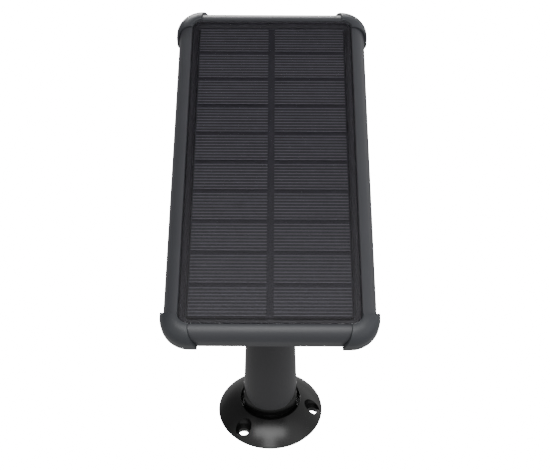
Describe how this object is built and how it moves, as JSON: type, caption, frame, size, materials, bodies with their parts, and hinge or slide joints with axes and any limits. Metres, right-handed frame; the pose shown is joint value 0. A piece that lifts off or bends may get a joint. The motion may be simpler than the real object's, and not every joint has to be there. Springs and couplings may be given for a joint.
{
  "type": "solar charging panel",
  "caption": "Portrait solar charging panel with corner caps on a stubby two-hinge arm and a round swivelling wall base; it charges an outdoor security camera.",
  "frame": {"origin": "centre of the wall base's back face", "axes": "+Z out of the wall along the arm at rest, +X along both tilt hinges, the panel's glass faces -Y and +Z"},
  "size_m": [0.1016, 0.1764, 0.1887],
  "materials": {
    "frame_plastic": "satin, fine moulded grain",
    "cap_plastic": "satin, fine moulded grain",
    "cover_plastic": "matt, fine moulded grain",
    "panel_glass": "smooth tempered glass",
    "gasket_rubber": "matt",
    "board_backing": "dark laminate",
    "cell_silicon": "dark silicon with fine collector lines",
    "tinned_copper": "tinned",
    "circuit_board": "solder mask",
    "chip_epoxy": "moulded epoxy",
    "arm_plastic": "satin",
    "base_plastic": "gloss black",
    "screw_steel": "zinc plated",
    "bolt_steel": "black oxide",
    "washer_nylon": "nylon"
  },
  "bodies": {
    "base": {"base_flange": "base_plastic", "wall_pad": "gasket_rubber"},
    "knuckle": {"knuckle": "base_plastic", "pivot_bolt": "bolt_steel", "pivot_nut": "bolt_steel", "pivot_washer_left": "washer_nylon", "pivot_washer_right": "washer_nylon", "knuckle_washer": "screw_steel", "knuckle_screw": "screw_steel"},
    "arm": {"arm": "arm_plastic", "upper_hinge_bolt": "bolt_steel", "upper_hinge_nut": "bolt_steel", "upper_hinge_washer_left": "washer_nylon", "upper_hinge_washer_right": "washer_nylon"},
    "panel": {"bezel_frame": "frame_plastic", "cover_glass": "panel_glass", "glass_gasket": "gasket_rubber", "cell_board": "board_backing", "solar_cell_left_01": "cell_silicon", "solar_cell_right_01": "cell_silicon", "solar_cell_left_02": "cell_silicon", "solar_cell_right_02": "cell_silicon", "solar_cell_left_03": "cell_silicon", "solar_cell_right_03": "cell_silicon", "solar_cell_left_04": "cell_silicon", "solar_cell_right_04": "cell_silicon", "solar_cell_left_05": "cell_silicon", "solar_cell_right_05": "cell_silicon", "solar_cell_left_06": "cell_silicon", "solar_cell_right_06": "cell_silicon", "solar_cell_left_07": "cell_silicon", "solar_cell_right_07": "cell_silicon", "solar_cell_left_08": "cell_silicon", "solar_cell_right_08": "cell_silicon", "solar_cell_left_09": "cell_silicon", "solar_cell_right_09": "cell_silicon", "solar_cell_left_10": "cell_silicon", "solar_cell_right_10": "cell_silicon", "bus_ribbon_left": "tinned_copper", "bus_ribbon_right": "tinned_copper", "corner_cap_top_right": "cap_plastic", "corner_cap_top_left": "cap_plastic", "corner_cap_bottom_left": "cap_plastic", "corner_cap_bottom_right": "cap_plastic", "rear_cover": "cover_plastic", "cover_screw_1": "screw_steel", "cover_screw_2": "screw_steel", "cover_screw_3": "screw_steel", "cover_screw_4": "screw_steel", "regulator_board": "circuit_board", "regulator_chip": "chip_epoxy", "cable_gland": "cover_plastic", "cable_grommet": "gasket_rubber", "gland_nut": "cover_plastic", "panel_bracket": "arm_plastic", "bracket_screw_1": "screw_steel", "bracket_screw_2": "screw_steel", "bracket_screw_3": "screw_steel", "bracket_screw_4": "screw_steel"}
  },
  "joints": [
    {"name": "base_pan", "type": "hinge", "parent": "base", "child": "knuckle", "pos_m": [0, 0, 0.008], "axis": [0, 0, 1], "range_deg": [-180, 180]},
    {"name": "base_tilt", "type": "hinge", "parent": "knuckle", "child": "arm", "pos_m": [0, 0, 0.0145], "axis": [1, 0, 0], "range_deg": [-20, 20]},
    {"name": "panel_tilt", "type": "hinge", "parent": "arm", "child": "panel", "pos_m": [0, 0, 0.107], "axis": [1, 0, 0], "range_deg": [-55, 35]}
  ]
}
